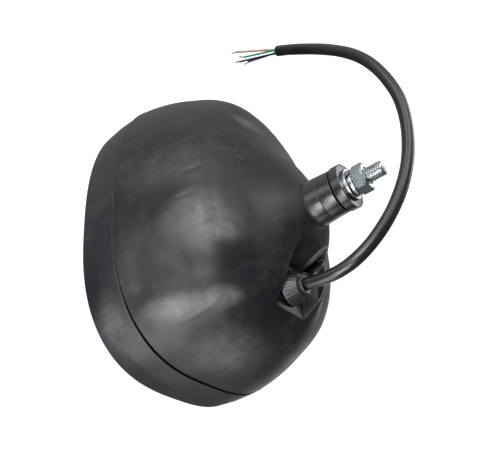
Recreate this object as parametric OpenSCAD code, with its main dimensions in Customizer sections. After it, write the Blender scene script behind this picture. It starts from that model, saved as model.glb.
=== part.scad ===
// Stud-mounted head lamp for tractors and other slow vehicles.
// Frame: +Y runs rearward along the mounting stud, +Z is the side where the cable leaves,
// and the origin is on the stud's axis where the vehicle's bracket is clamped.

/* [Outline] */
// Half of the outline's width
half_w = 82; // [78:1:86]
// Outline's reach above its centre, on the cable side
reach_high = 94.5; // [90:0.5:98]
// Outline's reach below its centre
reach_low = 128; // [122:1:134]
// Squareness of the outline's upper corners (2 is an ellipse)
square_high = 2.75; // [2.2:0.1:3]
// Squareness of the outline's lower corners
square_low = 2.45; // [2:0.05:2.6]
// How far the outline's centre lies below the stud's axis
outline_drop = 4.5; // [0:0.5:8]

/* [Depths] */
// Depth of the front rim band
rim_depth = 30.5; // [28:0.5:33]
// Depth of the rubber dome from the rim to the bush
dome_depth = 97; // [94:1:100]
// Thickness of the rubber and rim walls
wall = 3; // [2.5:0.1:3.5]

/* [Stud and bushes] */
// Radius of the stud's exposed thread (M10)
stud_r = 5; // [5]
// How far the exposed thread stands behind the nut
stud_out = 11.2; // [10:0.1:14]
// Length of the two bushes together
bush_len = 19.3; // [18:0.1:21]
// Gap that the bracket is clamped in
groove = 1.4; // [1.2:0.1:3]
// Width of the nut across its flats (M10)
nut_flats = 17; // [17]

/* [Cable] */
// Outer diameter of the cable's sleeve
sleeve_d = 8; // [8]
// Outer diameter of one core
core_d = 1.6; // [1.5:0.1:1.8]

/* [Hidden] */
$fn = 64;
facets = 72;                 // points round the outline
bush_r = 16;                 // radius of the dome where it meets the bush
dome_wider = 1.02;           // the dome is a little wider than the rim
run_gap = 0.08;              // radial clearance round the stud
shank_r = stud_r - 0.4;      // plain shank inside the bushes and washers
y_groove = groove / 2;
y_bush = -y_groove - bush_len;      // where the bushes stand on the dome
y_seam = y_bush - dome_depth;       // where the dome meets the rim
y_front = y_seam - rim_depth;       // the lamp's front plane
cap_t = 6;
flat_t = 2.2;
spring_t = 3;
nut_t = 8;
y_flat = y_groove + cap_t;
y_spring = y_flat + flat_t;
y_nut = y_spring + spring_t + 0.1;
y_nut_end = y_nut + nut_t;
y_stud_end = y_nut_end + stud_out;
// Shape of the dome: how far the outline has closed towards the bush at each share of its depth
DOME = [[0, 1], [0.1, 0.99], [0.2, 0.97], [0.3, 0.94], [0.4, 0.9], [0.5, 0.855], [0.6, 0.785],
        [0.68, 0.68], [0.74, 0.54], [0.8, 0.385], [0.86, 0.27], [0.91, 0.19], [0.96, 0.09], [1, 0]];
floor_t = 5;                 // rubber under the stud's backing plate
pocket_half = 14.5;
// Side view of the cable pocket, as [y, z]: floor, slanted inner wall, and space outside
POCKET = [[-54, 86], [-50.5, 67], [-45.5, 35], [-24, 24], [-12, 18], [-12, 86]];
pocket_wall = 2.5;
// The pocket's side walls lean outwards: how far out they are this much nearer its mouth
flare_left = 2;
flare_right = 5;
flare_y = 8;
// The grommet's axis starts on the pocket floor and leans towards +Z
grommet_at = [0, -47.9, 50.2];
grommet_lean = 8.9;
collar_face = 13.2;          // from the pocket floor to the collar's end, along the grommet's axis
// Route of the cable's sleeve behind the grommet: it bows to one side, clear of the stud's axis
ROUTE = [[0, -27, 53.9], [0, -18, 54.8], [0.3, -9.1, 54.1], [1, -1.5, 51.6], [2.5, 5.9, 47.3],
         [4.5, 13.1, 41.3], [8, 22.9, 30.1], [10.5, 31.2, 17.5], [12.3, 38.9, 3.6], [13, 44.9, -13.1],
         [12.5, 48.2, -28.2], [11, 50.2, -42.4], [9, 50.3, -54.9], [7, 48.3, -65.2], [5.2, 46.3, -73.5],
         [3.2, 42.9, -83.5], [1.6, 38.4, -92.8], [0.6, 32.3, -102.2], [0, 25.5, -110.5],
         [0, 17, -119.5], [0, 8, -128], [0, -1.5, -136], [0, -11, -143.5], [0, -19, -149.5],
         [0, -26.5, -154.3]];

function mix(a, b, k) = a + (b - a) * k;

// Point of the outline at an angle, for half sizes [width, high, low] and the two squarenesses
function outline_r(a, size, sq) =
    let (p = mix(sq[1], sq[0], (1 + sin(a)) / 2), h = sin(a) >= 0 ? size[1] : size[2])
    pow(pow(abs(cos(a)) / size[0], p) + pow(abs(sin(a)) / h, p), -1 / p);

function outline(size, sq, drop, y) =
    [for (i = [0 : facets - 1]) let (a = 360 * i / facets, r = outline_r(a, size, sq))
        [r * cos(a), y, r * sin(a) - drop]];

// Ring of the lamp's full outline at depth y, moved inwards by inset and shrunk to a share
function rim_ring(y, inset, share = 1) =
    outline([for (h = [half_w, reach_high, reach_low]) (h - inset) * share],
            [square_high, square_low], outline_drop, y);

// How far the rubber rises round the pocket's two side edges, over the plain dome
function rise(x, z) = z < 0 ? 0 : exp(-pow((z - 46) / 15, 2))
    * (2.5 * exp(-pow((x + 17) / 9, 2)) + 9 * exp(-pow((x - 20) / 9, 2)));

// Ring of the dome at share q of its depth, moved inwards by inset
function dome_ring(q, inset, y) =
    let (s = lookup(q, DOME), k = pow(q, 0.7),
         size = [for (h = [half_w * dome_wider, reach_high, reach_low])
                 bush_r + (h - bush_r) * s - inset])
    [for (p = outline(size, [mix(square_high, 2, k), mix(square_low, 2, k)], outline_drop * s, y))
        p + [0, rise(p[0], p[2]) * min(1, 6 * (1 - q)), 0]];

// Closed solid through a list of rings that run rearward
module loft(rings) {
    n = len(rings[0]);
    last = (len(rings) - 1) * n;
    polyhedron(
        points = [for (ring = rings) each ring],
        faces = concat(
            [for (k = [0 : len(rings) - 2], i = [0 : n - 1]) let (j = (i + 1) % n)
                each [[k * n + i, k * n + j, (k + 1) * n + i],
                      [k * n + j, (k + 1) * n + j, (k + 1) * n + i]]],
            [[for (i = [n - 1 : -1 : 0]) i]],
            [[for (i = [0 : n - 1]) last + i]]));
}

// Closed ring round the lamp's outline, from a cross-section of [y, inset] points
module rim_section(profile) {
    n = facets;
    m = len(profile);
    polyhedron(
        points = [for (p = profile) each rim_ring(p[0], p[1])],
        faces = [for (k = [0 : m - 1], i = [0 : n - 1])
            let (j = (i + 1) % n, a = k * n, b = ((k + 1) % m) * n)
                each [[a + i, a + j, b + i], [a + j, b + j, b + i]]]);
}

// Turned piece round the stud's axis, from a profile of [radius, y]
module turned(profile) {
    rotate([-90, 0, 0]) rotate_extrude() polygon(profile);
}

module rod(r, y_a, y_b) {
    translate([0, y_a, 0]) rotate([-90, 0, 0]) cylinder(r = r, h = y_b - y_a);
}

// Washer or bush: outer radius r_a at y_a and r_b at y_b, round a bore
module collar(r_a, r_b, y_a, y_b, bore) {
    turned([[bore, y_a], [r_a, y_a], [r_b, y_b], [bore, y_b]]);
}

// Solid swept along a route of 3-D points: flat ends square to the route
function unit(v) = v / norm(v);
function tangent(p, i) = unit(p[min(i + 1, len(p) - 1)] - p[max(i - 1, 0)]);
function side_ring(c, t, r, n) =
    let (u = abs(t[0]) > 0.9 ? [0, 1, 0] : [1, 0, 0], v = unit(cross(t, u)), w = cross(v, t))
    [for (i = [0 : n - 1]) c + r * (cos(360 * i / n) * w + sin(360 * i / n) * v)];
module swept(route, r, n) {
    loft([for (i = [0 : len(route) - 1]) side_ring(route[i], tangent(route, i), r, n)]);
}

// Full dome, moved inwards by inset
module dome_solid(inset) {
    loft([for (d = DOME) dome_ring(d[0], inset, y_seam + d[0] * dome_depth)]);
}

// Cup with the spigot that the rim slides over: up the inside, then down the outside
module housing_shell() {
    spigot_y = y_seam - 7;
    loft(concat(
        [dome_ring(1 - floor_t / dome_depth, wall, y_bush - floor_t)],
        [for (k = [len(DOME) - 3 : -1 : 1]) dome_ring(DOME[k][0], wall, y_seam + DOME[k][0] * dome_depth)],
        [rim_ring(y_seam + 3, 2 * wall), rim_ring(spigot_y, 2 * wall),
         rim_ring(spigot_y, wall + 0.2), rim_ring(y_seam, wall + 0.2)],
        [for (d = DOME) dome_ring(d[0], 0, y_seam + d[0] * dome_depth)]));
}

// Slice of the pocket between two values of x, its floor moved towards the mouth by shift
module pocket_slice(x_a, x_b, grow, shift) {
    translate([x_a, shift, 0]) rotate([90, 0, 90])
        linear_extrude(x_b - x_a) offset(delta = grow) polygon(POCKET);
}

module pocket_space(grow) {
    half = pocket_half + grow;
    thin = 0.1;
    hull() {
        pocket_slice(-half, half, grow, 0);
        pocket_slice(-half - flare_left, -half - flare_left + thin, grow, flare_y);
        pocket_slice(half + flare_right - thin, half + flare_right, grow, flare_y);
    }
}

module on_grommet_axis() {
    translate(grommet_at) rotate([grommet_lean - 90, 0, 0]) children();
}

module rubber_housing() {
    color("#26282b") difference() {
        union() {
            housing_shell();
            // lining of the pocket, a little inside the dome's own surface
            intersection() {
                dome_solid(0.4);
                pocket_space(pocket_wall);
            }
        }
        pocket_space(0);
        rod(shank_r + 0.1, y_bush - 12, y_bush + 1);
        on_grommet_axis() cylinder(r = 6.5, h = 12, center = true);
    }
}

module front_rim() {
    color("#222428") rim_section([[y_front, 1.5], [y_front + 1.5, 0], [y_seam - 0.3, 0],
        [y_seam - 0.3, wall], [y_front + 3, wall], [y_front + 3, 8.6], [y_front, 8]]);
}

// Front surface of the lens at a share of its half size
function lens_front(s) = y_front + 0.8 + 3.3 * s * s;

module lens() {
    steps = [for (s = [1, 0.9, 0.75, 0.6, 0.45, 0.3, 0.15, 0.03]) s];
    y_flange = y_front + 8.1;
    color([0.85, 0.9, 0.95, 0.5]) loft(concat(
        [for (i = [len(steps) - 1 : -1 : 0]) rim_ring(lens_front(steps[i]), 4.2, steps[i])],
        [rim_ring(y_flange, 4.2), rim_ring(y_flange, 10)],
        [for (s = [0.85, 0.75, 0.6, 0.45, 0.3, 0.15, 0.03]) rim_ring(lens_front(s) + 4, 4.2, s)]));
}

module lens_seal() {
    color("#1a1a1c") rim_section([[y_front + 8.1, 4.2], [y_front + 10.1, 4.2],
        [y_front + 10.1, 9.5], [y_front + 8.1, 9.5]]);
}

y_flange = y_front + 10.1;           // front of the reflector's flange
bowl_depth = 50;
bowl_back = y_flange + bowl_depth;   // where the bowl ends in its collar
function bowl_ring(s, inset) = rim_ring(y_flange + (1 - s * s) * bowl_depth, 11, s - inset / half_w);
BOWL = [1, 0.95, 0.88, 0.8, 0.7, 0.6, 0.5, 0.4, 0.32, 0.24];
collar_r = 27;
bulb_hole = 12.1;
pilot_z = -46;

module reflector() {
    color("#c8ccd0") difference() {
        union() {
            difference() {
                union() {
                    loft([rim_ring(y_flange, 4.2), rim_ring(y_flange + 1.2, 4.2)]);
                    loft([for (s = BOWL) let (r = bowl_ring(s, 0))
                          [for (p = r) p + [0, 1.3, 0]]]);
                }
                loft(concat([rim_ring(y_flange - 1, 11)], [for (s = BOWL) bowl_ring(s, 1.2)]));
            }
            rod(collar_r, bowl_back - 4.6, bowl_back - 1.2);
            translate([0, 0, pilot_z]) rod(9, bowl_back - 18, bowl_back - 2);
        }
        rod(bulb_hole, bowl_back - 20, bowl_back);
        translate([0, 0, pilot_z]) rod(7.05, bowl_back - 30, bowl_back);
        // clears the bowl's inside in front of the collar and the pilot socket
        loft(concat([rim_ring(y_flange - 1, 11)],
                    [for (s = BOWL) if (s > 0.3) bowl_ring(s, 1.2)]));
    }
}

y_collar = bowl_back - 1.2;          // rear face of the reflector's collar

module retaining_ring() {
    color("#9aa0a4") rim_section([[y_flange + 1.2, 3.4], [y_flange + 3.2, 3.4],
        [y_flange + 3.2, 8], [y_flange + 1.2, 8]]);
}

module bulb_glass() {
    color([0.9, 0.92, 0.95, 0.6]) turned(concat([[0, y_collar - 6], [9, y_collar - 6]],
        [for (a = [0 : 15 : 90]) [9 * cos(a), y_collar - 30 - 9 * sin(a)]]));
}

module bulb_base() {
    color("#b0b4b8") turned([[0, y_collar - 6], [11.8, y_collar - 6], [11.8, y_collar],
        [20, y_collar], [20, y_collar + 1.3], [11, y_collar + 1.3], [11, y_collar + 12],
        [0, y_collar + 12]]);
}

TABS = [[-6, 0, 3], [6, 0, 3], [0, 0, -5]];
module bulb_tabs() {
    color("#c9b37a") for (t = TABS) translate([t[0] - 3.15, y_collar + 12, t[2] - 0.4])
        cube([6.3, 8, 0.8]);
}

module bulb_connector() {
    color("#e8e6dc") difference() {
        translate([-11.5, y_collar + 12.5, -8.5]) cube([23, 16, 15]);
        for (t = TABS) translate([t[0] - 3.35, y_collar + 12, t[2] - 0.6]) cube([6.7, 9, 1.2]);
    }
}

hinge_y = y_collar + 2.4;
hinge_z = 24;
wire_r = 0.8;
clip_half = 14;
clip_foot = -21.5;

module clip_bracket() {
    color("#a9adb1") difference() {
        union() {
            translate([-11, y_collar, 21]) cube([22, 0.8, 5.5]);
            for (x = [-10.5, 8.5]) translate([x, y_collar, 21.5]) cube([2, 7, 5]);
        }
        translate([0, hinge_y, hinge_z]) rotate([0, 90, 0])
            cylinder(r = wire_r + run_gap, h = 40, center = true);
    }
}

// Wire clip that presses the bulb's flange onto the collar: a hinge bar, two legs and a foot bar
module bulb_clip() {
    color("#b8bcc0") {
        translate([0, hinge_y, hinge_z]) rotate([0, 90, 0])
            cylinder(r = wire_r, h = 2 * clip_half, center = true);
        for (x = [-1, 1]) {
            translate([x * clip_half, hinge_y, hinge_z]) sphere(r = wire_r);
            translate([x * clip_half, hinge_y, clip_foot]) cylinder(r = wire_r, h = hinge_z - clip_foot);
            translate([x * clip_half, hinge_y, clip_foot]) sphere(r = wire_r);
        }
        translate([0, hinge_y, clip_foot]) rotate([0, 90, 0])
            cylinder(r = wire_r, h = 2 * clip_half, center = true);
    }
}

module pilot_holder() {
    color("#2b2d30") translate([0, 0, pilot_z]) {
        rod(7, bowl_back - 15, bowl_back - 2);
        rod(9.5, bowl_back - 2, bowl_back + 2);
        rod(4, bowl_back + 2, bowl_back + 8);
    }
}

module pilot_bulb() {
    color([0.9, 0.92, 0.95, 0.6]) translate([0, 0, pilot_z])
        turned(concat([[0, bowl_back - 15], [4.4, bowl_back - 15]],
            [for (a = [0 : 15 : 90]) [4.4 * cos(a), bowl_back - 25 - 4.4 * sin(a)]]));
}

module backing_plate() {
    color("#8f959a") collar(17, 17, y_bush - floor_t - 2, y_bush - floor_t, shank_r + 0.1);
}

module stud() {
    color("#c4ccd2") {
        intersection() {
            translate([0, y_bush - 13.4, 0]) rotate([-90, 0, 0])
                cylinder(r = nut_flats / sqrt(3), h = 6.4, $fn = 6);
            rod(nut_flats / 2 + 0.8, y_bush - 14, y_bush - 6);
        }
        turned([[0, y_bush - 8], [shank_r, y_bush - 8], [shank_r, y_nut_end], [stud_r, y_nut_end],
                [stud_r, y_stud_end - 0.8], [stud_r - 0.8, y_stud_end], [0, y_stud_end]]);
    }
}

module seat_ring() {
    color("#141517") collar(16.2, 16.2, y_bush, y_bush + 1, shank_r + 0.1);
}

bush_mid = -10;
module lower_bush() {
    color("#2a2c2f") collar(15.6, 15, y_bush + 1, bush_mid, shank_r + 0.1);
}

module upper_bush() {
    bore = shank_r + run_gap;
    color("#2f3134") turned([[bore, bush_mid + 0.1], [15, bush_mid + 0.1], [14.5, -y_groove],
        [11.2, -y_groove], [11.2, y_groove], [bore, y_groove]]);
}

module cap_washer() {
    bore = shank_r + run_gap;
    color("#1f2022") turned([[bore, y_groove], [14.7, y_groove], [15.2, y_groove + 0.6],
        [15.2, y_flat - 0.5], [14.7, y_flat], [bore, y_flat]]);
}

module flat_washer() {
    color("#aeb6bd") collar(10.5, 10.5, y_flat, y_spring, 5.25);
}

module spring_washer() {
    color("#a8b0b8") difference() {
        collar(9, 9, y_spring, y_spring + spring_t, 5.2);
        translate([-7.2, y_spring + spring_t / 2, 0]) rotate([-30, 0, 0])
            cube([6, 12, 1.2], center = true);
    }
}

module hex_nut() {
    color("#c0c8cf") difference() {
        intersection() {
            translate([0, y_nut, 0]) rotate([-90, 26, 0])
                cylinder(r = nut_flats / sqrt(3), h = nut_t, $fn = 6);
            turned([[0, y_nut], [8.3, y_nut], [10, y_nut + 1], [10, y_nut_end - 1],
                    [8.3, y_nut_end], [0, y_nut_end]]);
        }
        rod(shank_r + run_gap, y_nut - 1, y_nut_end + 1);
    }
}

// Conical grommet: flange inside, neck through the pocket's floor, cone and collar outside
module cable_grommet() {
    color("#2a2c2f") on_grommet_axis() rotate_extrude() polygon([
        [4.1, -6.4], [9, -6.4], [9, -3.9], [6.3, -3.9], [6.3, 1.2], [11.5, 1.2], [7, 9.6],
        [5.6, 10.2], [5.6, 11.2], [6.8, 11.2], [6.8, collar_face], [4.1, collar_face]]);
}

function grommet_point(d) = grommet_at + d * [0, cos(grommet_lean), sin(grommet_lean)];
sleeve_route = concat([for (d = [-11, 0, collar_face]) grommet_point(d)],
                      ROUTE);
module cable_sleeve() {
    color("#1c1d20") swept(sleeve_route, sleeve_d / 2, 12);
}

// The cores leave the sleeve's cut end side by side and spread a little
cut_end = sleeve_route[len(sleeve_route) - 1];
cut_dir = tangent(sleeve_route, len(sleeve_route) - 1);
end_gap = 0.1;
// Start of a wire by an end of the sleeve: at = [along X, across the sleeve's middle plane]
function wire_start(end, dir, at) = end + end_gap * dir + [at[0], 0, 0] + at[1] * cross([1, 0, 0], dir);
module core(at, tip, tint) {
    from = wire_start(cut_end, cut_dir, at);
    lead_out = from + 6 * cut_dir;
    color(tint) swept([from, lead_out, 0.45 * lead_out + 0.55 * tip, tip], core_d / 2, 8);
}
tip_brown = [-3, -63.5, -180.8];
tip_green = [-1, -57.8, -171.7];
tip_black = [2.5, -65.1, -175];
tip_blue = [4.5, -58.1, -170.8];
module core_brown() { core([0.2, 1.5], tip_brown, "#6a4426"); }
module core_green() { core([-1.3, 0.1], tip_green, "#0f6b52"); }
module core_black() { core([0.3, -1.5], tip_black, "#161616"); }
module core_blue() { core([1.4, 0], tip_blue, "#1f3f8f"); }

module strand(tip, end) {
    swept([tip + 0.4 * unit(end - tip), end], 0.5, 8);
}

// Bare strands at the ends of the four cores
module bare_wire_ends() {
    color("#b87b4b") {
        strand(tip_brown, [-3, -67.9, -182.9]);
        strand(tip_green, [-1, -62.3, -176]);
        strand(tip_black, [2.5, -69, -177.9]);
        strand(tip_blue, [5, -62.1, -170.9]);
    }
}

// Wires inside the lamp, from the sleeve's inner end to the bulb and the pilot bulb
lead_dir = unit(sleeve_route[0] - sleeve_route[1]);
module lead(at, mid, end, tint) {
    from = wire_start(sleeve_route[0], lead_dir, at);
    color(tint) swept([from, from + 5 * lead_dir, mid, end], core_d / 2, 8);
}
plug_top = 6.5;                  // upper face of the bulb's connector
module lead_dip() {
    lead([-2, 0], [-7, y_collar + 22, 22], [-7, y_collar + 21, plug_top], "#0f6b52");
}
module lead_main() {
    lead([2, 0], [7, y_collar + 22, 22], [7, y_collar + 21, plug_top], "#6a4426");
}
module lead_earth() {
    lead([0, -2], [0, y_collar + 22, 23], [0, y_collar + 21, plug_top], "#161616");
}
module lead_pilot() {
    from = wire_start(sleeve_route[0], lead_dir, [0, 2]);
    color("#1f3f8f") swept([from, from + [-1, -4, -3], [-17, -58, 24], [-20, -57, -4],
        [-12, -60, -34], [0, bowl_back + 16, pilot_z + 3], [0, bowl_back + 8, pilot_z]], core_d / 2, 8);
}

rubber_housing();
front_rim();
lens();
lens_seal();
reflector();
retaining_ring();
bulb_glass();
bulb_base();
bulb_tabs();
bulb_connector();
clip_bracket();
bulb_clip();
pilot_holder();
pilot_bulb();
backing_plate();
stud();
seat_ring();
lower_bush();
upper_bush();
cap_washer();
flat_washer();
spring_washer();
hex_nut();
cable_grommet();
cable_sleeve();
core_brown();
core_green();
core_black();
core_blue();
bare_wire_ends();
lead_dip();
lead_main();
lead_earth();
lead_pilot();
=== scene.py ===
"""Looks of a stud-mounted vehicle head lamp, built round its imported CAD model."""
import math

import bmesh
import bpy
import numpy as np
from mathutils import Matrix, Vector, noise


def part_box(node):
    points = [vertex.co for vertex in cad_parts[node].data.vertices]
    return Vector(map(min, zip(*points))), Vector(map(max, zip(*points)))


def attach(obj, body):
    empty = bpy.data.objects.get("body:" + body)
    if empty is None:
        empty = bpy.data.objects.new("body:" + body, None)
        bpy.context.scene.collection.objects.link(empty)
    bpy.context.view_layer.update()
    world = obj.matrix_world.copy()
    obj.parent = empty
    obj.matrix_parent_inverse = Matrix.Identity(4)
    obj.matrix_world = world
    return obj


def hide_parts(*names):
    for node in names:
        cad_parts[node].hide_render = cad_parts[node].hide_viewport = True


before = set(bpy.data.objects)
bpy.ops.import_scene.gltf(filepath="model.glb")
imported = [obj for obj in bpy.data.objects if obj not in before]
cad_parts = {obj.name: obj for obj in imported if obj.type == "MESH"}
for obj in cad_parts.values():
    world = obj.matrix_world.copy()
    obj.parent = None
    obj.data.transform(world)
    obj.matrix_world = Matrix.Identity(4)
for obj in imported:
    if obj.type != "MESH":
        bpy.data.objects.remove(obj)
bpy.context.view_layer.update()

MM = 0.001
X_AXIS, Y_AXIS, Z_AXIS = Vector((1, 0, 0)), Vector((0, 1, 0)), Vector((0, 0, 1))

# ---------------------------------------------------------------- camera
CAMERA_AT = Vector((-0.3180, 0.1497, 0.2690))
CAMERA_LOOK = Vector((0.6646, -0.4634, -0.5861))
CAMERA_ROLL = -173.2
LENS_MM = 50.4

camera = bpy.data.objects.new("camera", bpy.data.cameras.new("camera"))
bpy.context.collection.objects.link(camera)
look = CAMERA_LOOK.to_track_quat("-Z", "Y").to_matrix().to_4x4()
roll = Matrix.Rotation(math.radians(-CAMERA_ROLL), 4, "Z")
camera.matrix_world = Matrix.Translation(CAMERA_AT) @ look @ roll
camera.data.lens = LENS_MM
camera.data.sensor_width = 36
camera.data.clip_start = 0.01
camera.data.clip_end = 50
bpy.context.scene.camera = camera


# ---------------------------------------------------------------- mesh helpers
def add_mesh(name, verts, faces, material, body, replaced):
    """A piece from vertices in millimetres, smooth shaded, riding on a body."""
    mesh = bpy.data.meshes.new(name)
    mesh.from_pydata([Vector(v) * MM for v in verts], [], faces)
    mesh.validate()
    return finish_piece(name, mesh, material, body, replaced)


def finish_piece(name, mesh, material, body, replaced):
    """Merge, point the faces outwards, shade smooth, hide the CAD parts it replaces, and attach it to its
    body.
    """
    made = bmesh.new()
    made.from_mesh(mesh)
    bmesh.ops.remove_doubles(made, verts=made.verts, dist=1e-7)
    bmesh.ops.recalc_face_normals(made, faces=made.faces)
    made.to_mesh(mesh)
    made.free()
    mesh.shade_smooth()
    piece = bpy.data.objects.new(name, mesh)
    bpy.context.collection.objects.link(piece)
    mesh.materials.append(material)
    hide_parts(*replaced)
    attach(piece, body)
    return piece


def loft(rings, closed=False):
    """Skin over rings with the same number of points: capped at both ends, or closed on itself."""
    count = len(rings[0])
    verts = [p for ring in rings for p in ring]
    faces = []
    steps = len(rings) if closed else len(rings) - 1
    for k in range(steps):
        a = k * count
        b = ((k + 1) % len(rings)) * count
        for i in range(count):
            j = (i + 1) % count
            faces.append((a + i, a + j, b + j, b + i))
    if not closed:
        faces.append(tuple(range(count - 1, -1, -1)))
        faces.append(tuple((len(rings) - 1) * count + i for i in range(count)))
    return verts, faces


def circle(centre, u, v, radius, sides):
    """Points round a centre in the plane of u and v; radius is a number or a function of the angle."""
    ring = []
    for i in range(sides):
        a = math.tau * i / sides
        r = radius(a) if callable(radius) else radius
        ring.append(centre + r * (math.cos(a) * u + math.sin(a) * v))
    return ring


def turned_ring(radius, y, sides):
    """Circle round the stud's axis."""
    return circle(y * Y_AXIS, X_AXIS, Z_AXIS, radius, sides)


def rounded(profile, radius, steps=4):
    """The closed cross-section with each corner turned into an arc of up to that radius."""
    out = []
    count = len(profile)
    for i, corner in enumerate(profile):
        corner = Vector(corner)
        to_prev = Vector(profile[i - 1]) - corner
        to_next = Vector(profile[(i + 1) % count]) - corner
        reach = min(radius, 0.45 * to_prev.length, 0.45 * to_next.length)
        start = corner + to_prev.normalized() * reach
        end = corner + to_next.normalized() * reach
        for k in range(steps + 1):
            t = k / steps
            out.append(tuple((1 - t) ** 2 * start + 2 * t * (1 - t) * corner + t * t * end))
    return out


def spline(points, per_span=8):
    """Catmull-Rom points through the given 3-D points."""
    pts = [Vector(p) for p in points]
    ends = [2 * pts[0] - pts[1]] + pts + [2 * pts[-1] - pts[-2]]
    out = []
    for i in range(len(pts) - 1):
        a, b, c, d = ends[i:i + 4]
        for k in range(per_span):
            t = k / per_span
            out.append(0.5 * (2 * b + (c - a) * t + (2 * a - 5 * b + 4 * c - d) * t * t
                              + (3 * b - a - 3 * c + d) * t ** 3))
    return out + [pts[-1]]


def frames_along(path):
    """Tangent and two side vectors at each point, turning as little as possible."""
    count = len(path)
    out = []
    side = None
    for i in range(count):
        t = (path[min(i + 1, count - 1)] - path[max(i - 1, 0)]).normalized()
        side = X_AXIS if side is None else side
        side = (side - t * side.dot(t)).normalized()
        out.append((t, side, t.cross(side)))
    return out


def tube(path, radius, sides):
    """Skin of a tube along the path."""
    return loft([circle(p, u, v, radius, sides) for p, (_, u, v) in zip(path, frames_along(path))])


# ---------------------------------------------------------------- materials
class Nodes:
    """Short way to build a Principled material."""

    def __init__(self, name):
        self.material = bpy.data.materials.new(name)
        self.material.use_nodes = True
        self.tree = self.material.node_tree
        self.shader = self.tree.nodes["Principled BSDF"]
        self.coords = self.tree.nodes.new("ShaderNodeTexCoord").outputs["Object"]

    def plug(self, socket, value):
        """Link another node's output to the socket, or set the socket's own value."""
        if isinstance(value, bpy.types.NodeSocket):
            self.tree.links.new(value, socket)
        else:
            socket.default_value = value

    def add(self, kind, inputs, **settings):
        node = self.tree.nodes.new(kind)
        for key, value in settings.items():
            setattr(node, key, value)
        for key, value in inputs.items():
            self.plug(node.inputs[key], value)
        return node

    def noise(self, scale, detail=4.0, rough=0.5, stretch=None):
        vector = self.coords
        if stretch:
            vector = self.add("ShaderNodeMapping", {"Vector": vector, "Scale": stretch}).outputs[0]
        return self.add("ShaderNodeTexNoise", {"Vector": vector, "Scale": scale, "Detail": detail,
                                               "Roughness": rough}).outputs[0]

    def ramp(self, value, low, high, out_low=0.0, out_high=1.0, kind="LINEAR"):
        node = self.add("ShaderNodeMapRange", {"Value": value, "From Min": low, "From Max": high,
                                               "To Min": out_low, "To Max": out_high},
                        interpolation_type=kind)
        return node.outputs[0]

    def vector(self, operation, a, b=(0, 0, 0)):
        return self.add("ShaderNodeVectorMath", {0: a, 1: b}, operation=operation)

    def math(self, operation, a, b):
        return self.add("ShaderNodeMath", {0: a, 1: b}, operation=operation).outputs[0]

    def mix(self, share, a, b):
        """Colour between a and b."""
        node = self.add("ShaderNodeMix", {}, data_type="RGBA")
        for key, value in ((0, share), (6, a), (7, b)):
            self.plug(node.inputs[key], value)
        return node.outputs[2]

    def bump(self, height, distance, under=None):
        inputs = {"Height": height, "Distance": distance, "Strength": 1.0}
        if under:
            inputs["Normal"] = under
        return self.add("ShaderNodeBump", inputs).outputs[0]

    def set(self, **values):
        """Inputs of the shader by name, with _ for a space."""
        for key, value in values.items():
            self.plug(self.shader.inputs[key.replace("_", " ")], value)


DUST = (0.32, 0.31, 0.29, 1)
SPECK = (0.4, 0.4, 0.39, 1)
# pale film on the rubber, and painted sheen: a lighter colour standing in for broad highlights
FILM_AND_SHEEN_COLOUR = (0.165, 0.17, 0.175, 1)
# painted highlight on sharp edges
EDGE_HIGHLIGHT_COLOUR = (0.2, 0.2, 0.2, 1)
# painted shade in the gap at the seam
SEAM_SHADE_COLOUR = (0.001, 0.001, 0.001, 1)


def film_and_sheen_mask(n, patches):
    """Mask of a pale film on old rubber and of painted sheen where the light falls brightest: patches are
    centre, reach in each direction (mm) and strength.
    """
    total = None
    for centre, reach, strength in patches:
        shift = n.vector("SUBTRACT", n.coords, [c * MM for c in centre]).outputs[0]
        scaled = n.vector("DIVIDE", shift, [r * MM for r in reach]).outputs[0]
        far = n.vector("LENGTH", scaled).outputs[1]
        film_sheen_mask = n.math("MULTIPLY", n.ramp(far, 1.0, 0.0, kind="SMOOTHERSTEP"), strength)
        total = film_sheen_mask if total is None else n.math("MAXIMUM", total, film_sheen_mask)
    cloud = n.ramp(n.noise(70.0, 6.0, 0.62, (1.0, 1.0, 0.6)), 0.3, 0.68, 0.35, 1.15)
    scuff = n.ramp(n.noise(420.0, 3.0, 0.6, (1.0, 0.35, 1.0)), 0.35, 0.65, 0.8, 1.2)
    return n.math("MULTIPLY", n.math("MULTIPLY", total, cloud), scuff)


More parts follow.
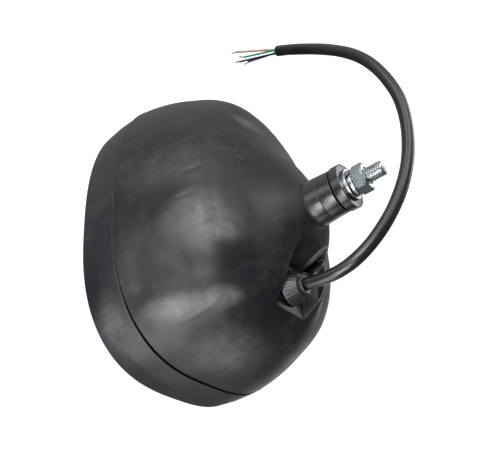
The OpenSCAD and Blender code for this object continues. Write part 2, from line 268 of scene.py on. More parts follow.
def rubber(name, colour, rough, dust=0.4, gloss=0.5, film_and_sheen_patches=(), edge_highlight=0.0, seam_shade=None):
    """Moulded black rubber: grain, cloudy sheen, dust, pale film with painted sheen, painted highlights on
    sharp edges, and painted shade along a seam.

    The seam's painted shade is given as two places along y: shaded up to the first, clear from the second."""
    n = Nodes(name)
    cloud = n.noise(18.0, 5.0, 0.6)
    patches = n.ramp(n.noise(45.0, 6.0, 0.65), 0.5, 0.8)
    specks = n.add("ShaderNodeTexVoronoi", {"Vector": n.coords, "Scale": 260.0}).outputs["Distance"]
    speck = n.math("MULTIPLY", n.ramp(specks, 0.07, 0.03), n.ramp(n.noise(60.0, 3.0), 0.52, 0.62))
    dark = [c * 0.82 for c in colour] + [1]
    light = [c * 1.2 + 0.002 for c in colour] + [1]
    base = n.mix(n.ramp(cloud, 0.3, 0.7), dark, light)
    base = n.mix(n.math("MULTIPLY", patches, 0.12 * dust), base, DUST)
    base = n.mix(n.math("MULTIPLY", speck, dust), base, SPECK)
    roughness = n.math("ADD", n.ramp(cloud, 0.3, 0.7, rough - 0.05, rough + 0.05),
                       n.math("MULTIPLY", patches, 0.12))
    # pale film and painted sheen: lighter, rougher rubber inside the patches
    if film_and_sheen_patches:
        film_sheen_mask = film_and_sheen_mask(n, film_and_sheen_patches)
        base = n.mix(film_sheen_mask, base, FILM_AND_SHEEN_COLOUR)
        roughness = n.math("ADD", roughness, n.math("MULTIPLY", film_sheen_mask, 0.10))
    # painted highlight: sharp convex edges made lighter
    if edge_highlight:
        sharp = n.add("ShaderNodeNewGeometry", {}).outputs["Pointiness"]
        base = n.mix(n.math("MULTIPLY", n.ramp(sharp, 0.515, 0.575), edge_highlight), base, EDGE_HIGHLIGHT_COLOUR)
    # painted shade: darker, less glossy rubber along the seam's gap
    if seam_shade:
        y = n.add("ShaderNodeSeparateXYZ", {0: n.coords}).outputs["Y"]
        clear = n.ramp(y, seam_shade[0] * MM, seam_shade[1] * MM)
        base = n.mix(clear, SEAM_SHADE_COLOUR, base)
        gloss = n.math("MULTIPLY", clear, gloss)
    waves = n.bump(n.noise(140.0, 3.0), 0.06 * MM)
    n.set(Base_Color=base, Roughness=roughness, Specular_IOR_Level=gloss,
          Normal=n.bump(n.noise(2600.0, 2.0, 0.5), 0.03 * MM, waves))
    return n.material


def metal(name, colour, rough, scratch=0.02, tint=0.12):
    """Plated steel: cloudy plating, fine scratches (depth in mm), and duller spots."""
    n = Nodes(name)
    cloud = n.noise(160.0, 5.0, 0.6)
    lines = n.noise(700.0, 3.0, 0.6, (1.0, 0.08, 1.0))
    light = list(colour) + [1]
    dull = [c * (1 - 2.2 * tint) for c in colour] + [1]
    n.set(Base_Color=n.mix(n.ramp(cloud, 0.4, 0.7), light, dull), Metallic=1.0,
          Roughness=n.ramp(cloud, 0.3, 0.75, rough - 0.06, rough + 0.14),
          Normal=n.bump(lines, scratch * MM))
    return n.material


def plastic(name, colour, rough):
    """Moulded or drawn plastic: faint clouds in colour and sheen, and fine grain."""
    n = Nodes(name)
    cloud = n.noise(300.0, 4.0)
    dark = [c * 0.85 for c in colour] + [1]
    light = [c * 1.1 for c in colour] + [1]
    n.set(Base_Color=n.mix(n.ramp(cloud, 0.3, 0.7), dark, light),
          Roughness=n.ramp(cloud, 0.3, 0.7, rough - 0.05, rough + 0.08),
          Normal=n.bump(n.noise(1800.0, 2.0), 0.01 * MM))
    return n.material


def clear_glass(name, colour, rough):
    """Glass with the faint waviness of pressing."""
    n = Nodes(name)
    n.set(Base_Color=list(colour) + [1], Roughness=rough, IOR=1.5, Transmission_Weight=1.0,
          Normal=n.bump(n.noise(90.0, 2.0), 0.03 * MM))
    return n.material


SEAL = rubber("seal_rubber", (0.008, 0.008, 0.009), 0.6, dust=0.15)
# the bush gets a painted highlight on its sharp edges
BUSH = rubber("bush_rubber", (0.0075, 0.008, 0.009), 0.24, dust=0.25, gloss=0.65, edge_highlight=0.4)
GROMMET = rubber("grommet_rubber", (0.014, 0.0145, 0.016), 0.36, dust=0.3)
SLEEVE = rubber("sleeve_pvc", (0.007, 0.0072, 0.0085), 0.30, dust=0.2, gloss=0.6)
ZINC = metal("zinc_steel", (0.54, 0.59, 0.61), 0.25, 0.03, 0.2)
PLATED = metal("plated_steel", (0.5, 0.52, 0.54), 0.36)
WIRE = metal("spring_wire", (0.55, 0.56, 0.58), 0.25)
MIRROR = metal("reflector_mirror", (0.88, 0.89, 0.91), 0.09, 0.004, 0.03)
BRASS = metal("brass_tabs", (0.75, 0.58, 0.27), 0.3)
COPPER = metal("copper_wire", (0.78, 0.42, 0.25), 0.32)
CORE_BROWN = plastic("core_brown", (0.33, 0.19, 0.095), 0.4)
CORE_GREEN = plastic("core_green", (0.0, 0.26, 0.15), 0.4)
CORE_BLACK = plastic("core_black", (0.012, 0.012, 0.013), 0.4)
CORE_BLUE = plastic("core_blue", (0.01, 0.09, 0.5), 0.4)
CONNECTOR = plastic("connector_plastic", (0.62, 0.6, 0.53), 0.5)
LENS_GLASS = clear_glass("lens_glass", (0.95, 0.97, 0.98), 0.02)
BULB_GLASS = clear_glass("bulb_glass", (0.97, 0.98, 0.98), 0.01)

# ---------------------------------------------------------------- cable
SLEEVE_D = 8.0
SLEEVE_SIDES = 32
CORE_D = 1.6
STRAND_D = 0.28
STRANDS_AROUND = 8  # and one in the middle
GROMMET_AT = Vector((0, -47.9, 50.2))
GROMMET_LEAN = math.radians(8.9)
GROMMET_AXIS = Vector((0, math.cos(GROMMET_LEAN), math.sin(GROMMET_LEAN)))
COLLAR_FACE = 13.2
ROUTE = [[0, -27, 53.9], [0, -18, 54.8], [0.3, -9.1, 54.1], [1, -1.5, 51.6], [2.5, 5.9, 47.3],
         [4.5, 13.1, 41.3], [8, 22.9, 30.1], [10.5, 31.2, 17.5], [12.3, 38.9, 3.6], [13, 44.9, -13.1],
         [12.5, 48.2, -28.2], [11, 50.2, -42.4], [9, 50.3, -54.9], [7, 48.3, -65.2], [5.2, 46.3, -73.5],
         [3.2, 42.9, -83.5], [1.6, 38.4, -92.8], [0.6, 32.3, -102.2], [0, 25.5, -110.5],
         [0, 17, -119.5], [0, 8, -128], [0, -1.5, -136], [0, -11, -143.5], [0, -19, -149.5],
         [0, -26.5, -154.3]]
route = [GROMMET_AT + d * GROMMET_AXIS for d in (-11, 0, COLLAR_FACE)] + [Vector(p) for p in ROUTE]


def smoothed(path, times):
    """The path with its corners eased; both ends and the part in the grommet stay put."""
    kept = 14
    for _ in range(times):
        eased = [(path[i - 1] + 2 * path[i] + path[i + 1]) / 4 for i in range(kept, len(path) - 1)]
        path = path[:kept] + eased + path[-1:]
    return path


sleeve_path = smoothed(spline(route, 6), 30)


def sleeve_radius(share, angle):
    """Slightly flat where it bends out of the grommet, where the cores show through as ridges."""
    pinch = math.exp(-((share - 0.12) / 0.06) ** 2)
    oval = 1 + 0.08 * pinch * math.cos(2 * angle)
    flats = 1 + (0.008 + 0.03 * pinch) * math.cos(4 * angle + 5 * share)
    swell = 1.035 + 0.008 * math.sin(37 * share) + 0.008 * math.sin(83 * share + 1)
    return 0.5 * SLEEVE_D * oval * flats * swell


def build_sleeve():
    """Hollow tube: outer skin, a rounded cut end, and the inside of the open end."""
    frames = frames_along(sleeve_path)
    last = len(sleeve_path) - 1
    rings = [circle(p, u, v, lambda a: sleeve_radius(i / last, a), SLEEVE_SIDES)
             for i, (p, (_, u, v)) in enumerate(zip(sleeve_path, frames))]
    t, u, v = frames[-1]
    for r, back in ((3.85, 0), (3.6, 0.15), (3.3, 0.1), (3.15, 0.4), (3.1, 6.0)):
        rings.append(circle(sleeve_path[-1] - t * back, u, v, r, SLEEVE_SIDES))
    verts, faces = loft(rings)
    return add_mesh("cable_sleeve_skin", verts, faces, SLEEVE, "lamp", ("cable_sleeve",))


CUT_END = sleeve_path[-1]
CUT_DIR = (sleeve_path[-1] - sleeve_path[-2]).normalized()
CUT_UP = X_AXIS.cross(CUT_DIR)
# where each core stands in the sleeve's end, where its sheath stops, where its strands end, its
# material, and the turn of its strands
CORES = {
    "core_brown": ((0.3, 2.1), (-3, -63.5, -180.8), (-3, -67.9, -182.9), CORE_BROWN, 0.0),
    "core_green": ((-1.5, -0.5), (-1, -57.8, -171.7), (-1, -62.3, -176.0), CORE_GREEN, 1.1),
    "core_black": ((0.3, -2.2), (2.5, -65.1, -175), (2.5, -69, -177.9), CORE_BLACK, 2.3),
    "core_blue": ((1.9, -0.5), (4.5, -58.1, -170.8), (5, -62.1, -170.9), CORE_BLUE, 3.7),
}


def core_line(at, tip):
    """The core's way from inside the sleeve's end, straight out and then over to its tip."""
    start = CUT_END + at[0] * X_AXIS + at[1] * CUT_UP
    lead_out = start + 6 * CUT_DIR
    return spline([start - 5 * CUT_DIR, start, lead_out, lead_out.lerp(Vector(tip), 0.55), tip], 8)


def build_core(name, at, tip, material):
    line = core_line(at, tip)
    t = (line[-1] - line[-2]).normalized()
    path = line[:-1] + [line[-1] - 0.12 * t, line[-1]]
    rings = [circle(p, u, v, CORE_D / 2, 16) for p, (_, u, v) in zip(path, frames_along(path))]
    _, u, v = frames_along(path)[-1]
    rings[-1] = circle(path[-1], u, v, CORE_D / 2 - 0.18, 16)
    verts, faces = loft(rings)
    return add_mesh(name + "_wire", verts, faces, material, "lamp", (name,))


def strand_path(root, t, u, v, along, k, turn):
    """One strand: twisted with the others where it leaves the sheath, bowing away towards its end."""
    spread = 0.33 if k < STRANDS_AROUND else 0.0
    stray = 1.9 if k in (1, 5) else 0.75
    bow = math.sin(2.3 * k + turn)
    path = []
    for step in range(11):
        s = step / 10
        a = math.tau * k / STRANDS_AROUND + turn + 2.2 * s
        r = spread * (1 + stray * s * s * (0.5 + 0.5 * bow))
        centre = root - t * (1 - s) ** 2 + along * s * (0.94 + 0.08 * bow)
        path.append(centre + u * (r * math.cos(a) + 0.25 * bow * s * s) + v * r * math.sin(a))
    return path


def build_strands():
    """Nine twisted strands at the end of each core; they fray a little, and one or two stray."""
    verts = []
    faces = []
    for at, tip, end, _, turn in CORES.values():
        line = core_line(at, tip)
        t, u, v = frames_along(line)[-1]
        for k in range(STRANDS_AROUND + 1):
            path = strand_path(line[-1], t, u, v, Vector(end) - line[-1], k, turn)
            more_verts, more_faces = tube(path, STRAND_D / 2, 6)
            faces += [tuple(i + len(verts) for i in f) for f in more_faces]
            verts += more_verts
    return add_mesh("bare_strands", verts, faces, COPPER, "lamp", ("bare_wire_ends",))


sleeve = build_sleeve()
core_pieces = [build_core(name, c[0], c[1], c[3]) for name, c in CORES.items()]
strands = build_strands()

# ---------------------------------------------------------------- lamp outline
rim_low, rim_high = [Vector(c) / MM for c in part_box("front_rim")]
OUTLINE_DROP = 4.5
HALF_W = rim_high.x
REACH_HIGH = rim_high.z + OUTLINE_DROP
REACH_LOW = -rim_low.z - OUTLINE_DROP
SQUARE_HIGH, SQUARE_LOW = 2.75, 2.45
Y_FRONT = rim_low.y
Y_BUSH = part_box("seat_ring")[0][1] / MM
Y_SEAM = Y_FRONT + 30.5
DOME_DEPTH = Y_BUSH - Y_SEAM
BUSH_R = 16.0
DOME_WIDER = 1.02
WALL = 3.0
HOUSING_SIDES = 200
RISE_EDGES = ((-17, 2.5), (20, 9))  # x of each edge of the pocket, and the height there
RISE_WIDE, RISE_AT_Z, RISE_LONG = 9, 46, 15
# share of the depth, and how much of the rim's outline is left there
DOME = [(0, 1), (0.1, 0.99), (0.2, 0.97), (0.3, 0.94), (0.4, 0.9), (0.5, 0.855), (0.6, 0.785),
        (0.68, 0.68), (0.74, 0.54), (0.8, 0.385), (0.86, 0.27), (0.91, 0.19), (0.96, 0.09), (1, 0)]


def dome_share(q):
    """Smooth curve through the dome's profile."""
    xs = [p[0] for p in DOME]
    k = max(0, min(len(DOME) - 2, sum(1 for x in xs if x <= q) - 1))
    (x0, y0), (x1, y1) = DOME[k], DOME[k + 1]
    before = DOME[max(k - 1, 0)]
    after = DOME[min(k + 2, len(DOME) - 1)]
    m0 = (y1 - before[1]) / (x1 - before[0])
    m1 = (after[1] - y0) / (after[0] - x0)
    t = (q - x0) / (x1 - x0)
    h = x1 - x0
    return ((2 * t ** 3 - 3 * t * t + 1) * y0 + (t ** 3 - 2 * t * t + t) * h * m0
            + (3 * t * t - 2 * t ** 3) * y1 + (t ** 3 - t * t) * h * m1)


def rise(x, z):
    """How far the rubber rises round the pocket's two side edges, over the plain dome."""
    if z < 0:
        return 0.0
    across = sum(high * math.exp(-((x - at) / RISE_WIDE) ** 2) for at, high in RISE_EDGES)
    return across * math.exp(-((z - RISE_AT_Z) / RISE_LONG) ** 2)


def outline(size, square, drop, y, sides):
    """Rounded ring from half width and upper and lower reach; square is how full each half's corners are."""
    ring = []
    for i in range(sides):
        a = math.tau * i / sides
        c, s = math.cos(a), math.sin(a)
        p = square[1] + (square[0] - square[1]) * (1 + s) / 2
        h = size[1] if s >= 0 else size[2]
        r = ((abs(c) / size[0]) ** p + (abs(s) / h) ** p) ** (-1 / p)
        ring.append((r * c, y, r * s - drop))
    return ring


def rim_ring(y, inset, share=1.0, sides=240):
    """Outline of the rim at y, inset all round and then scaled by share."""
    size = [(h - inset) * share for h in (HALF_W, REACH_HIGH, REACH_LOW)]
    return outline(size, (SQUARE_HIGH, SQUARE_LOW), OUTLINE_DROP, y, sides)


def dome_ring(q, inset):
    """Outline of the dome at share q of its depth, from the rim's outline to the bush's circle."""
    s = dome_share(q)
    k = q ** 0.7
    size = [BUSH_R + (h - BUSH_R) * s - inset for h in (HALF_W * DOME_WIDER, REACH_HIGH, REACH_LOW)]
    square = [b + (2 - b) * k for b in (SQUARE_HIGH, SQUARE_LOW)]
    ring = outline(size, square, OUTLINE_DROP * s, Y_SEAM + q * DOME_DEPTH, HOUSING_SIDES)
    return [(x, y + rise(x, z) * min(1, 6 * (1 - q)), z) for x, y, z in ring]


def rim_section(name, profile, radius, material, body, replaced):
    """Ring round the outline from a closed cross-section of (y, inset), corners rounded."""
    rings = [rim_ring(y, inset) for y, inset in rounded(profile, radius)]
    verts, faces = loft(rings, closed=True)
    return add_mesh(name, verts, faces, material, body, replaced)


# ---------------------------------------------------------------- housing
# patches of pale film and of painted sheen on the housing, where the light falls brightest
HOUSING_FILM_AND_SHEEN = [
    ((-62, -62, 20), (34, 36, 27), 0.5), ((-59, -54, 30), (20, 18, 13), 0.62),
    ((-56, -94, 66), (24, 38, 10), 0.62), ((-45, -66, 65), (18, 22, 8), 0.5),
    ((-25, -46, -72), (22, 16, 12), 0.55), ((-20, -85, 86), (50, 36, 18), 0.34),
    ((-66, -80, -20), (40, 50, 30), 0.18), ((-70, -110, 20), (20, 20, 60), 0.2)]
# housing and rim: painted highlights on sharp edges, a painted shade line at the seam, and pale film with
# painted sheen
HOUSING = rubber("housing_rubber", (0.0075, 0.0082, 0.0098), 0.37, dust=0.5, gloss=0.38, edge_highlight=0.8,
                 seam_shade=(Y_SEAM + 0.3, Y_SEAM + 1.1), film_and_sheen_patches=HOUSING_FILM_AND_SHEEN)
RIM = rubber("rim_rubber", (0.011, 0.012, 0.0145), 0.40, dust=0.35, gloss=0.4, edge_highlight=0.5,
             seam_shade=(Y_SEAM - 1.2, Y_SEAM - 2.0), film_and_sheen_patches=[((-60, -132, 66), (34, 24, 30), 0.42)])
POCKET_HALF = 14.5
# side views (y, z) of the pocket's space, and of that space with its lining round it
POCKET = [(-54, 86), (-50.5, 67), (-45.5, 35), (-24, 24), (-12, 18), (-12, 86)]
POCKET_LINED = [(-56.8, 88), (-53.1, 66.2), (-48.2, 33.2), (-25.2, 21.5), (-12, 15), (-12, 88)]
FLARE_LEFT, FLARE_RIGHT, FLARE_Y = 0.4, 5, 8
LEAN_LEFT, LEAN_FROM = 0.09, 67  # the left side leans in towards the stud from this z
POCKET_WALL = 2.5
SPIGOT = 7.0  # length of the lip that goes into the rim
VOXEL = 0.62


def plain_object(name, verts, faces, hull=False):
    """Object for the boolean steps, from vertices in millimetres or from their hull."""
    mesh = bpy.data.meshes.new(name)
    mesh.from_pydata([Vector(v) * MM for v in verts], [], faces)
    made = bmesh.new()
    made.from_mesh(mesh)
    if hull:
        out = bmesh.ops.convex_hull(made, input=made.verts)
        loose = out["geom_interior"] + out["geom_unused"]
        spare = {v for v in loose if isinstance(v, bmesh.types.BMVert)}
        bmesh.ops.delete(made, geom=list(spare), context="VERTS")
    bmesh.ops.recalc_face_normals(made, faces=made.faces)
    made.to_mesh(mesh)
    made.free()
    thing = bpy.data.objects.new(name, mesh)
    bpy.context.collection.objects.link(thing)
    return thing


def cut(target, tool, operation):
    """Boolean on the mesh itself; the tool is used up."""
    step = target.modifiers.new("cut", "BOOLEAN")
    step.operation = operation
    step.solver = "EXACT"
    step.object = tool
    apply_modifiers(target)
    bpy.data.objects.remove(tool, do_unlink=True)


def apply_modifiers(thing):
    graph = bpy.context.evaluated_depsgraph_get()
    mesh = bpy.data.meshes.new_from_object(thing.evaluated_get(graph))
    thing.modifiers.clear()
    thing.data = mesh


def pocket_prism(name, side, grow):
    """The pocket's space: it widens towards its mouth, and its left side leans in towards the stud."""
    half = POCKET_HALF + grow
    verts = []
    for y, z in side:
        left = -half + LEAN_LEFT * max(0, LEAN_FROM - z)
        verts += [(left, y, z), (half, y, z),
                  (left - FLARE_LEFT, y + FLARE_Y, z), (half + FLARE_RIGHT, y + FLARE_Y, z)]
    return plain_object(name, verts, [], hull=True)


def cylinder_along(name, at, axis, radius, length):
    start = at - axis * length / 2
    return plain_object(name, *tube([start, start + axis * length], radius, 64))


def dome_body(name, inset):
    return plain_object(name, *loft([dome_ring(k / 60, inset) for k in range(61)]))


def shell_body():
    """Cup: up the inside from the floor under the bush, over the spigot, and down the outside."""
    floor_q = 1 - 5 / DOME_DEPTH
    inner = [dome_ring(floor_q - k * (floor_q - 0.1) / 40, WALL) for k in range(41)]
    lip = [rim_ring(y, inset, sides=HOUSING_SIDES)
           for y, inset in ((Y_SEAM + 3, 2 * WALL), (Y_SEAM - SPIGOT, 2 * WALL),
                            (Y_SEAM - SPIGOT, WALL + 0.2), (Y_SEAM, WALL + 0.2))]
    outer = [dome_ring(k / 90, 0) for k in range(91)]
    return plain_object("housing_shell", *loft(inner + lip + outer))


# creases pressed into the rubber: points of each line, half width and depth
CREASES = [
    ([(-76, -83, -36), (-71, -70, -39), (-65, -59, -41), (-55, -51, -48), (-40, -46, -57)], 1.7, 0.62),
    ([(-78, -92, -32), (-76, -83, -36), (-70, -69, -39.6)], 1.2, 0.5),
    ([(-73.5, -68, -11.3), (-69.4, -60, -13), (-62, -54, -17)], 1.5, 0.42),
    ([(-75, -74, 6.4), (-72, -66, 6.3), (-66, -58, 4)], 1.6, 0.42),
    ([(-53, -98, 71), (-50, -87, 69.5), (-47, -75, 66), (-44, -68, 62)], 1.1, 0.6),
    ([(-45, -47, -56), (-33, -46, -64), (-18, -44, -68)], 1.3, 0.35),
    ([(-50, -62, 84), (-40, -58, 80), (-30, -57, 78)], 2.2, 0.3),
    ([(-72, -104, 49), (-58, -78, 54), (-47, -61, 54), (-34, -49, 49), (-19, -41, 40)], 8.0, 1.4),
]
# small cracks round a worn spot: direction in degrees and length of each
STAR_AT = Vector((-48.4, -44.7, -29.8))
STAR = [(10, 24), (55, 9), (85, 13), (140, 8), (185, 22), (215, 10), (262, 12), (320, 9)]
STAR_HALF_WIDTH, STAR_DEPTH, STAR_BEND = 0.8, 0.42, 0.35
WAVE_DEPTH = 0.28
# broad hollows, or swellings where the depth is below zero: centre, radius and depth
DENTS = [((-60, -62, 12), 16, 0.6), ((-45, -50, 10), 12, 0.4), ((-40, -47, -40), 14, -0.5),
         ((-68, -75, 48), 13, 0.5), ((-25, -44, -72), 12, 0.6), ((-20, -62, 92), 16, 0.5)]


def segment_distance(points, a, b):
    """Distance of each point from the segment a to b, and how far along it the nearest place is."""
    a, b = np.array(a, float), np.array(b, float)
    span = b - a
    t = np.clip(((points - a) @ span) / (span @ span), 0, 1)
    return np.linalg.norm(points - a - t[:, None] * span, axis=1), t


def pressed(points, lines):
    """Depth pressed into the outside of the rubber at each point, in millimetres."""
    depth = np.zeros(len(points))
    for line, width, deep in lines:
        best = np.full(len(points), 1e9)
        share = np.zeros(len(points))
        for i, (a, b) in enumerate(zip(line, line[1:])):
            d, t = segment_distance(points, a, b)
            nearer = d < best
            best[nearer] = d[nearer]
            share[nearer] = (i + t[nearer]) / (len(line) - 1)
        taper = np.sin(np.pi * np.clip(share, 0.02, 0.98)) ** 0.6
        fold = np.exp(-(best / width) ** 2) - 0.25 * np.exp(-((best - 2.4 * width) / (1.6 * width)) ** 2)
        depth += deep * taper * fold
    for centre, radius, deep in DENTS:
        far = np.linalg.norm(points - np.array(centre, float), axis=1)
        depth += deep * np.exp(-(far / radius) ** 2)
    return depth


def star_lines(points, normals):
    """Cracks in the surface's own plane at the worn spot, each bent once at its middle."""
    nearest = np.argmin(np.linalg.norm(points - np.array(STAR_AT), axis=1))
    normal = Vector(normals[nearest])
    along = Z_AXIS.cross(normal).cross(normal).normalized()
    across = normal.cross(along)
    lines = []
    for degrees, length in STAR:
        line = [STAR_AT]
        for a in (math.radians(degrees), math.radians(degrees) + STAR_BEND):
            line.append(line[-1] + 0.5 * length * (math.cos(a) * along + math.sin(a) * across))
        lines.append((line, STAR_HALF_WIDTH, STAR_DEPTH))
    return lines


def press_creases(mesh):
    """Push the housing's points in along their normals: creases, hollows and a slight waviness."""
    count = len(mesh.vertices)
    points = np.empty(count * 3)
    normals = np.empty(count * 3)
    mesh.vertices.foreach_get("co", points)
    mesh.vertex_normals.foreach_get("vector", normals)
    points = points.reshape(-1, 3)
    normals = normals.reshape(-1, 3)
    wave = np.array([noise.noise(Vector(p) * 32) + 0.5 * noise.noise(Vector(p) * 75) for p in points])
    depth = pressed(points / MM, CREASES + star_lines(points / MM, normals)) + WAVE_DEPTH * wave
    points -= normals * (depth * MM)[:, None]
    mesh.vertices.foreach_set("co", points.ravel())
    mesh.update()


def build_housing():
    """Shell with its lined pocket, slot, bead and holes, softened by a voxel remesh, then creased."""
    body = shell_body()
    lining = dome_body("lining", 0.4)
    cut(lining, pocket_prism("lining_block", POCKET_LINED, POCKET_WALL), "INTERSECT")
    cut(body, lining, "UNION")
    cut(body, pocket_prism("pocket", POCKET, 0), "DIFFERENCE")
    # slot between the slanted inner wall and the pocket's side, with a rounded bead on its edge
    slot = [(x, y, z) for z in (28, 39) for x, y in ((11.2, -46), (13.6, -18), (17.4, -46), (20, -18))]
    cut(body, plain_object("slot", slot, [], hull=True), "DIFFERENCE")
    bead = [Vector((10.3, -45.6, 34.2)), Vector((11.0, -36, 31.0)), Vector((12.6, -24, 25.3))]
    cut(body, plain_object("bead", *tube(bead, 1.5, 24)), "UNION")
    cut(body, cylinder_along("stud_hole", Y_BUSH * Y_AXIS, Y_AXIS, 5.3, 30), "DIFFERENCE")
    cut(body, cylinder_along("grommet_hole", GROMMET_AT, GROMMET_AXIS, 6.2, 12), "DIFFERENCE")
    remesh = body.modifiers.new("soften", "REMESH")
    remesh.mode = "VOXEL"
    remesh.voxel_size = VOXEL * MM
    relax = body.modifiers.new("relax", "SMOOTH")
    relax.factor = 0.5
    relax.iterations = 2
    apply_modifiers(body)
    mesh = body.data
    bpy.data.objects.remove(body, do_unlink=True)
    press_creases(mesh)
    finish_piece("housing", mesh, HOUSING, "lamp", ("rubber_housing",))


build_housing()

# ---------------------------------------------------------------- rim and light unit
rim_profile = [(Y_FRONT, 0.7), (Y_FRONT + 14, -0.5), (Y_SEAM - 1.1, -0.3), (Y_SEAM - 1.1, WALL),
               (Y_FRONT + 3, WALL), (Y_FRONT + 3, 8.6), (Y_FRONT, 8)]
rim_section("rim_band", rim_profile, 1.2, RIM, "lamp", ("front_rim",))
LENS_INSET = 4.2
FLUTE_PITCH, FLUTE_DEPTH = 8.5, 0.8


def lens_front(s):
    """The lens's front face at share s of the way from its middle to its edge."""
    return Y_FRONT + 0.8 + 3.3 * s * s


def build_lens():
    """Domed glass, plain outside, with upright flutes and a few cross bars moulded inside."""
    front = [k / 60 for k in range(1, 61)]
    rings = [rim_ring(lens_front(s), LENS_INSET, s) for s in front]
    rings.append(rim_ring(Y_FRONT + 8.1, LENS_INSET))
    rings.append(rim_ring(Y_FRONT + 8.1, 10))
    for s in reversed(front[:-4]):
        ring = []
        for x, y, z in rim_ring(lens_front(s) + 3.6, LENS_INSET, s * 0.93):
            flute = FLUTE_DEPTH * abs(math.sin(math.pi * x / FLUTE_PITCH)) * min(1, (1 - s) * 12)
            bar = 0.35 if math.sin(z / 9.5) > 0.86 else 0
            ring.append((x, y + flute + bar, z))
        rings.append(ring)
    verts, faces = loft(rings)
    add_mesh("lens_skin", verts, faces, LENS_GLASS, "lamp", ("lens",))


build_lens()

# ---------------------------------------------------------------- stud, bushes and washers
STUD_R = 5.0
SHANK_R = 4.6
CLEAR_R = 5.1
FLATS = 17.0
PITCH = 1.5
THREAD_DEPTH = 0.92
NUT_TURN = math.radians(26)


def y_range(node):
    low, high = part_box(node)
    return low[1] / MM, high[1] / MM


def turned(node, profile, radius, material, body):
    """Turned skin for a node, from a closed cross-section of (radius, y) with rounded corners."""
    rings = [turned_ring(r, y, 128) for r, y in rounded(profile, radius)]
    verts, faces = loft(rings, closed=True)
    add_mesh(node + "_skin", verts, faces, material, body, (node,))


def plain_ring(node, bore, radius, edge, material, body, radius_behind=None):
    """Turned ring as long as its node, straight or tapering to another radius behind."""
    y0, y1 = y_range(node)
    profile = [(bore, y0), (radius, y0), (radius_behind or radius, y1), (bore, y1)]
    turned(node, profile, edge, material, body)


plain_ring("seat_ring", CLEAR_R, 16.2, 0.3, SEAL, "lamp")
plain_ring("lower_bush", CLEAR_R, 15.6, 0.35, BUSH, "lamp", 15.0)
y0, y1 = y_range("upper_bush")
y_groove = y1 - 1.4
upper_profile = [(STUD_R, y0), (15.0, y0), (14.5, y_groove), (11.2, y_groove), (11.2, y1), (STUD_R, y1)]
turned("upper_bush", upper_profile, 0.35, BUSH, "bracket_hardware")
plain_ring("cap_washer", STUD_R, 15.2, 0.4, BUSH, "bracket_hardware")
plain_ring("flat_washer", 5.25, 10.5, 0.35, ZINC, "bracket_hardware")


def thread_ring(y, y_tip, sides):
    """One ring of the thread; the tooth's phase runs on round it, and the tip is chamfered."""
    ring = []
    for i in range(sides):
        a = math.tau * i / sides
        phase = (y / PITCH - i / sides) % 1
        tooth = min(1, max(0, 3.2 * abs(phase - 0.5) - 0.28))
        r = min(STUD_R - THREAD_DEPTH * (1 - tooth), 3.9 + y_tip - y)
        ring.append((r * math.cos(a), min(y, y_tip), r * math.sin(a)))
    return ring


def hexagon(flats, a):
    """Radius of a hexagon across flats in direction a."""
    return flats / 2 / math.cos((a + math.pi / 6) % (math.pi / 3) - math.pi / 6)


def hex_mesh(y0, y1, turn=0.0, bore=None):
    """Hexagon with a cone chamfer on both faces, and a countersunk bore if one is given."""
    sides = 120
    ys = [y0 + 0.12 * k for k in range(9)]
    ys += [y0 + y1 - y for y in reversed(ys)]
    rings = []
    for y in ys:
        edge = min(y - y0, y1 - y)
        ring = []
        for i in range(sides):
            a = math.tau * i / sides
            flat = hexagon(FLATS, a)
            chamfer = 0.5 * FLATS - 0.35 + 1.75 * edge
            r = min(flat - 0.12 * max(0, 1 - edge / 0.12), chamfer, flat * 0.993 + 0.02)
            ring.append((r * math.cos(a + turn), y, r * math.sin(a + turn)))
        rings.append(ring)
    if bore:
        u = math.cos(turn) * X_AXIS + math.sin(turn) * Z_AXIS
        v = math.cos(turn) * Z_AXIS - math.sin(turn) * X_AXIS
        for r, y in ((bore + 0.9, y1), (bore, y1 - 0.9), (bore, y0 + 0.9), (bore + 0.9, y0)):
            rings.append(circle(y * Y_AXIS, u, v, r, sides))
    return loft(rings, closed=bool(bore))


def build_stud():
    """Plain shank and hexagon head inside, and a threaded end outside with a chamfered tip."""
    sides = 48
    y_head = Y_BUSH - 10
    y_tip = y_range("stud")[1]
    y_thread = y_range("hex_nut")[0] - 2
    rings = [turned_ring(SHANK_R, y, sides) for y in (y_head, y_thread - 0.4)]
    y = y_thread
    while y < y_tip + 0.01:
        rings.append(thread_ring(y, y_tip, sides))
        y += PITCH / 12
    verts, faces = loft(rings)
    head_verts, head_faces = hex_mesh(Y_BUSH - 13.4, Y_BUSH - 7)
    faces += [tuple(i + len(verts) for i in f) for f in head_faces]
    stud = add_mesh("stud_skin", verts + head_verts, faces, ZINC, "lamp", ("stud",))
    stud.data.set_sharp_from_angle(angle=math.radians(28))


def build_nut():
    verts, faces = hex_mesh(*y_range("hex_nut"), NUT_TURN, STUD_R)
    nut = add_mesh("hex_nut_skin", verts, faces, ZINC, "nut", ("hex_nut",))
    nut.data.set_sharp_from_angle(angle=math.radians(24))


def build_spring_washer():
    """Square-wire ring with a slanted split, its two ends a little out of line."""
    y0, y1 = y_range("spring_washer")
    mid = (y0 + y1) / 2
    section = rounded([(5.25, -1.05), (9, -1.15), (9, 1.15), (5.25, 1.05)], 0.35, 3)
    rings = []
    steps = 90
    for k in range(steps + 1):
        share = k / steps
        a = math.radians(185 + share * 350)
        lift = (share - 0.5) * 0.7
        rings.append([(r * math.cos(a + 0.1 * dy), mid + dy + lift, r * math.sin(a + 0.1 * dy))
                      for r, dy in section])
    verts, faces = loft(rings)
    piece = add_mesh("spring_washer_skin", verts, faces, ZINC, "bracket_hardware",
                     ("spring_washer",))
    piece.data.set_sharp_from_angle(angle=math.radians(50))


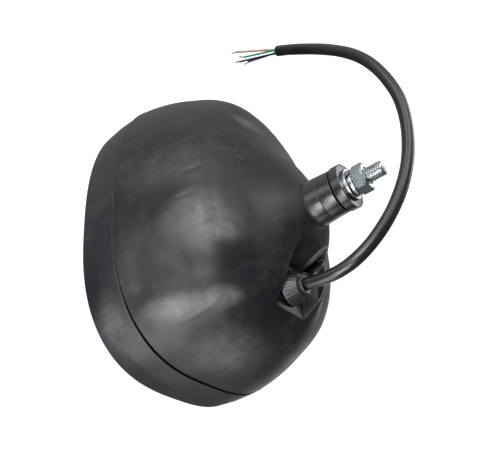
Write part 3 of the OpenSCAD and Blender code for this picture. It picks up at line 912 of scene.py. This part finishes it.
def build_grommet():
    """Conical rubber grommet with fine ribs down the cone and a thin flared collar."""
    # closed cross-section: radius, and distance along the grommet's axis
    profile = [(4.1, -6.4), (9, -6.4), (9, -3.9), (6.3, -3.9), (6.3, 1.2), (11.5, 1.2), (11.3, 2.0),
               (7.4, 8.9), (7.0, 9.6), (5.3, 10.1), (5.1, 11.3), (6.9, 11.5), (7.1, 12.5),
               (6.6, COLLAR_FACE), (5.7, 12.2), (4.1, 12.2)]
    other = GROMMET_AXIS.cross(X_AXIS)
    rings = []
    for r, d in rounded(profile, 0.45, 3):
        rib = 1 if 1.4 < d < 9.6 and r > 6.4 else 0
        rings.append(circle(
            GROMMET_AT + d * GROMMET_AXIS, X_AXIS, other,
            lambda a: r * (1 + rib * (0.007 * math.cos(24 * a) + 0.004 * math.cos(41 * a + 1))), 144))
    verts, faces = loft(rings, closed=True)
    add_mesh("cable_grommet_skin", verts, faces, GROMMET, "lamp", ("cable_grommet",))


build_stud()
build_nut()
build_spring_washer()
build_grommet()

# ---------------------------------------------------------------- CAD nodes kept as they are
KEPT = {
    "lens_seal": SEAL, "reflector": MIRROR, "retaining_ring": PLATED, "bulb_glass": BULB_GLASS,
    "bulb_base": PLATED, "bulb_tabs": BRASS, "bulb_connector": CONNECTOR, "clip_bracket": PLATED,
    "bulb_clip": WIRE, "pilot_holder": SEAL, "pilot_bulb": BULB_GLASS, "backing_plate": PLATED,
    "lead_dip": CORE_GREEN, "lead_main": CORE_BROWN, "lead_earth": CORE_BLACK, "lead_pilot": CORE_BLUE,
}
for node, material in KEPT.items():
    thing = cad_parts[node]
    thing.data.materials.clear()
    thing.data.materials.append(material)
    thing.data.shade_smooth()
    thing.data.set_sharp_from_angle(angle=math.radians(40))

# ---------------------------------------------------------------- studio
FLOOR_Z = -0.75


def camera_only(tree, socket, lit):
    """White to the camera, and another colour as light on the object."""
    path = tree.nodes.new("ShaderNodeLightPath")
    mix = tree.nodes.new("ShaderNodeMix")
    mix.data_type = "RGBA"
    mix.inputs[6].default_value = lit
    mix.inputs[7].default_value = (1, 1, 1, 1)
    tree.links.new(path.outputs["Is Camera Ray"], mix.inputs[0])
    tree.links.new(mix.outputs[2], socket)


def build_floor():
    half = 9.0
    mesh = bpy.data.meshes.new("floor")
    mesh.from_pydata([(-half, -half, FLOOR_Z), (half, -half, FLOOR_Z), (half, half, FLOOR_Z),
                      (-half, half, FLOOR_Z)], [], [(0, 1, 2, 3)])
    n = Nodes("floor")
    n.set(Base_Color=n.mix(n.noise(3.0), (0.5, 0.5, 0.5, 1), (0.55, 0.55, 0.55, 1)), Roughness=0.9,
          Emission_Strength=1.0)
    camera_only(n.tree, n.shader.inputs["Emission Color"], (0, 0, 0, 1))
    mesh.materials.append(n.material)
    floor = bpy.data.objects.new("floor", mesh)
    bpy.context.collection.objects.link(floor)


def softbox(name, place, size, power):
    """Area light placed by the camera's right, up and back from the lamp, facing the lamp."""
    target = Vector((0, -0.06, -0.02))
    away = camera.matrix_world.to_3x3() @ Vector(place)
    light = bpy.data.objects.new(name, bpy.data.lights.new(name, "AREA"))
    bpy.context.collection.objects.link(light)
    light.data.shape = "RECTANGLE"
    light.data.size, light.data.size_y = size
    light.data.energy = power
    facing = (-away).to_track_quat("-Z", "Y").to_matrix().to_4x4()
    light.matrix_world = Matrix.Translation(target + away) @ facing


def build_world():
    world = bpy.data.worlds.new("studio")
    world.use_nodes = True
    background = world.node_tree.nodes["Background"]
    background.inputs["Strength"].default_value = 1.0
    camera_only(world.node_tree, background.inputs["Color"], (0.10, 0.10, 0.105, 1))
    bpy.context.scene.world = world


SQUARE = (0.5, 0.5)
WIDE = (0.8, 0.8)
LIGHTS = [
    ("upper_left", (-0.25, 0.43, 0.87), SQUARE, 7.5),
    ("lower_left", (-0.25, -0.43, 0.87), SQUARE, 8.0),
    ("top", (0.33, 0.8, 0.5), SQUARE, 3.0),
    ("top_left", (-0.33, 0.8, 0.5), SQUARE, 2.4),
    ("left", (-0.8, 0.33, 0.5), SQUARE, 1.4),
    ("low", (-0.33, -0.8, 0.5), SQUARE, 3.5),
    ("right", (0.71, 0.71, 0.03), SQUARE, 0.9),
    ("side", (0.85, 0.32, -0.39), (0.4, 0.6), 3.0),
    ("below", (0.0, -1.0, 0.03), SQUARE, 1.2),
    ("behind_low", (0.4, -0.5, -1.0), WIDE, 1.5),
    ("behind_high", (-0.5, 0.6, -1.0), WIDE, 3.5),
]

build_floor()
for light in LIGHTS:
    softbox(*light)
build_world()
bpy.context.scene.view_settings.view_transform = "Standard"
